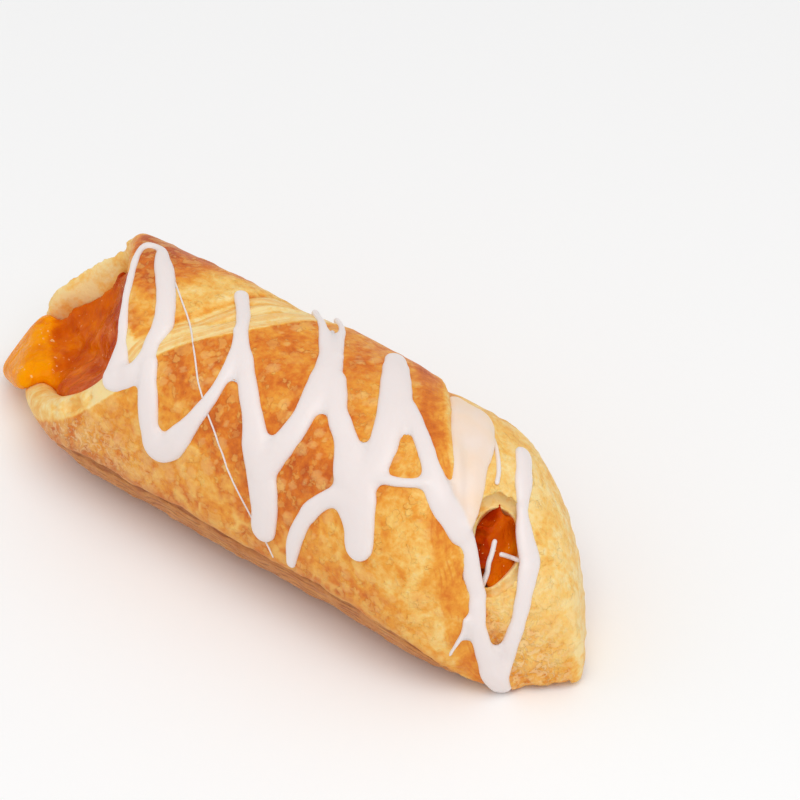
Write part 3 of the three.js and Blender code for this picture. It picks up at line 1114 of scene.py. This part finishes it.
def tube(name, route, half, thick, sides=14):
    """A closed tube along a route in millimetres: half its width, and its height each way."""
    along = unit(np.gradient(route, axis=0))
    side = unit(np.cross(along, outward_at(route)))
    up = np.cross(side, along)
    # Each round end has three more rings, this far out from the route's end.
    caps = np.array((0.98, 0.85, 0.5))
    first = route[0] - along[0] * half[0] * caps[:, None]
    last = route[-1] + along[-1] * half[-1] * caps[::-1, None]
    centre = np.vstack((first, route, last))
    which = np.pad(np.arange(len(route)), len(caps), mode="edge")
    shrink = np.pad(np.ones(len(route)), len(caps))
    shrink[: len(caps)] = np.sqrt(1 - caps**2)
    shrink[-len(caps):] = shrink[: len(caps)][::-1]
    turn = (np.arange(sides) * 2 * math.pi / sides)[None, :, None]
    across = (half[which] * shrink)[:, None, None] * np.cos(turn) * side[which][:, None]
    raised = (thick[which] * shrink)[:, None, None] * np.sin(turn) * up[which][:, None]
    rings = centre[:, None] + (across + raised)
    corners = np.arange(rings.size // 3).reshape(-1, sides)
    turned = np.roll(corners, -1, axis=1)
    faces = np.stack((corners[:-1], turned[:-1], turned[1:], corners[1:]), axis=2).reshape(-1, 4)
    ends = (corners[0, ::-1].tolist(), corners[-1].tolist())
    mesh = bpy.data.meshes.new(name)
    mesh.from_pydata((rings.reshape(-1, 3) * MM).tolist(), [], (*faces.tolist(), *ends))
    made = bpy.data.objects.new(name, mesh)
    bpy.context.collection.objects.link(made)
    return made


class PASTRY_OT_icing(bpy.types.Operator):
    """Pours the icing: strands of glaze that lie on the crust and run together"""

    bl_idname = "pastry.icing"
    bl_label = "Icing"

    def execute(self, context):
        settings = context.scene.pastry_icing
        graph = bpy.context.evaluated_depsgraph_get()
        under = [BVHTree.FromObject(bpy.data.objects[name], graph) for name in ("crust", "apricot")]
        strands = {}
        tubes = []
        for name, stops in STRANDS.items():
            route = smooth_route(stops, 10)
            half = route[:, 2] + SMOOTHED_OFF
            laid = lay_on(under, route)
            highest = POOL_THICKNESS if "pool" in name else settings.thickness / MM
            thick = np.minimum(0.42 + 0.36 * half, highest)
            half = half * (1 + 0.1 * cloud(laid, 3, 92)) + 0.1 * cloud(laid, 1.6, 93)
            strands[name] = laid, half
            tubes.append(tube(name, laid, half, thick))
        piece = self.join(tubes, "icing")
        edit(piece, bpy.ops.mesh.normals_make_consistent, inside=False)
        for growth in (WEB, -WEB):
            remesh(piece, settings.grain)
            finish_with(piece, "DISPLACE", mid_level=0, strength=growth * MM)
        smooth(piece, 6)
        threads = []
        for name, (thick, stops) in THREADS.items():
            laid = lay_on(under, smooth_route(stops, 8), 0)
            round_half = np.full(len(laid), thick)
            threads.append(tube(name, laid, round_half, round_half))
        piece = self.join([piece, *threads], "icing")
        points = points_of(piece)
        pool = self.cover(points, [strands[name] for name in strands if "pool" in name])
        others = self.cover(points, [strands[name] for name in strands if "pool" not in name])
        note(piece, "thin", ease(pool, -1.3, -0.3) * ease(others, 0.3, -0.3))
        dress(piece, icing_material(settings))
        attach(piece, "root")
        return {"FINISHED"}

    def join(self, parts, name):
        """Makes one piece of the parts."""
        choose(parts[0])
        for part in parts[1:]:
            part.select_set(True)
        bpy.ops.object.join()
        piece = bpy.context.object
        piece.name = piece.data.name = name
        return piece

    def cover(self, points, strands):
        """How far inside the strands' borders each point is, in millimetres."""
        points = (points / MM).astype(np.float32)
        best = np.full(len(points), -9.0)
        for route, half in strands:
            low, high = route.min(axis=0) - 5, route.max(axis=0) + 5
            close = np.flatnonzero(((points > low) & (points < high)).all(axis=1))
            for part in np.array_split(close, len(close) // 4000 + 1):
                away = np.linalg.norm(points[part, None] - route[None].astype(np.float32), axis=2)
                best[part] = np.maximum(best[part], (half - away).max(axis=1))
        return best


# ---- stage


# Each soft light: its place, size and power. The rest of the light comes from all round.
LIGHTS = {
    "key": ((0.35, -0.2, 0.85), 0.8, 3.9),
    "fill": ((-0.7, -0.4, 0.45), 0.9, 0.7),
}
LIGHT_ALL_ROUND = 0.62
LENS = 247.5                  # per metre of the camera's distance
LOOKED_AT = (1.8, MIDDLE_Y, 0)
# How far the camera aims to the right of that place and above it, in millimetres.
AIMED_RIGHT = 19.8
AIMED_UP = 22.7


class PASTRY_OT_stage(bpy.types.Operator):
    """Sets up the floor, the soft lights and the camera"""

    bl_idname = "pastry.stage"
    bl_label = "Stage"

    def execute(self, context):
        settings = context.scene.pastry_stage
        bpy.ops.object.select_all(action="DESELECT")
        bpy.ops.mesh.primitive_plane_add(size=6)
        floor = context.object
        floor.name = "floor"
        box = Paintbox("pale floor")
        floor.data.materials.append(box.finish(Base_Color=settings.floor, Roughness=0.8))
        for name, (place, size, power) in LIGHTS.items():
            self.light(name, place, size, power)
        world = bpy.data.worlds.new("studio")
        world.use_nodes = True
        background = world.node_tree.nodes["Background"].inputs
        background["Color"].default_value = (1, 1, 1, 1)
        background["Strength"].default_value = LIGHT_ALL_ROUND
        context.scene.world = world
        self.camera(context, settings)
        context.scene.view_settings.view_transform = "Standard"
        return {"FINISHED"}

    def turn(self, item, back):
        """Turns a light or the camera so that its back is that way."""
        item.rotation_mode = "QUATERNION"
        item.rotation_quaternion = back.to_track_quat("Z", "Y")

    def light(self, name, place, size, power):
        bpy.ops.object.light_add(type="AREA", location=place)
        lamp = bpy.context.object
        lamp.name = name
        lamp.data.size = size
        lamp.data.energy = power
        self.turn(lamp, Vector(place))

    def camera(self, context, settings):
        """Looks past the pastry, which stands low and left in the frame."""
        turn, rise = settings.azimuth, settings.elevation
        right = Vector((math.cos(turn), math.sin(turn), 0))
        level = math.cos(rise)
        back = Vector((math.sin(turn) * level, -math.cos(turn) * level, math.sin(rise)))
        middle = Vector(LOOKED_AT) * MM
        aim = middle + right * AIMED_RIGHT * MM + back.cross(right) * AIMED_UP * MM
        place = middle + back * settings.distance
        bpy.ops.object.camera_add(location=place)
        camera = context.object
        camera.data.lens = LENS * settings.distance
        camera.data.clip_end = 20
        self.turn(camera, place - aim)
        context.scene.camera = camera


class PASTRY_PT_panel(bpy.types.Panel):
    """Lists the pieces of the pastry"""

    bl_idname = "PASTRY_PT_panel"
    bl_label = "Danish Pastry"
    bl_space_type = "VIEW_3D"
    bl_region_type = "UI"
    bl_category = "Pastry"

    def draw(self, context):
        for name, (settings, operator) in PARTS.items():
            box = self.layout.box()
            box.operator(operator.bl_idname)
            for key in settings.__annotations__:
                box.prop(getattr(context.scene, name), key)


PARTS = {
    "pastry_crust": (CrustSettings, PASTRY_OT_crust),
    "pastry_filling": (FillingSettings, PASTRY_OT_filling),
    "pastry_icing": (IcingSettings, PASTRY_OT_icing),
    "pastry_stage": (StageSettings, PASTRY_OT_stage),
}
CLASSES = (*(item for pair in PARTS.values() for item in pair), PASTRY_PT_panel)


def register():
    for item in CLASSES:
        bpy.utils.register_class(item)
    for name, (settings, _) in PARTS.items():
        setattr(bpy.types.Scene, name, bpy.props.PointerProperty(type=settings))


def unregister():
    for name in PARTS:
        delattr(bpy.types.Scene, name)
    for item in reversed(CLASSES):
        bpy.utils.unregister_class(item)


def main():
    register()
    bpy.ops.pastry.crust()
    bpy.ops.pastry.filling()
    bpy.ops.pastry.icing()
    bpy.ops.pastry.stage()


if __name__ == "__main__":
    main()
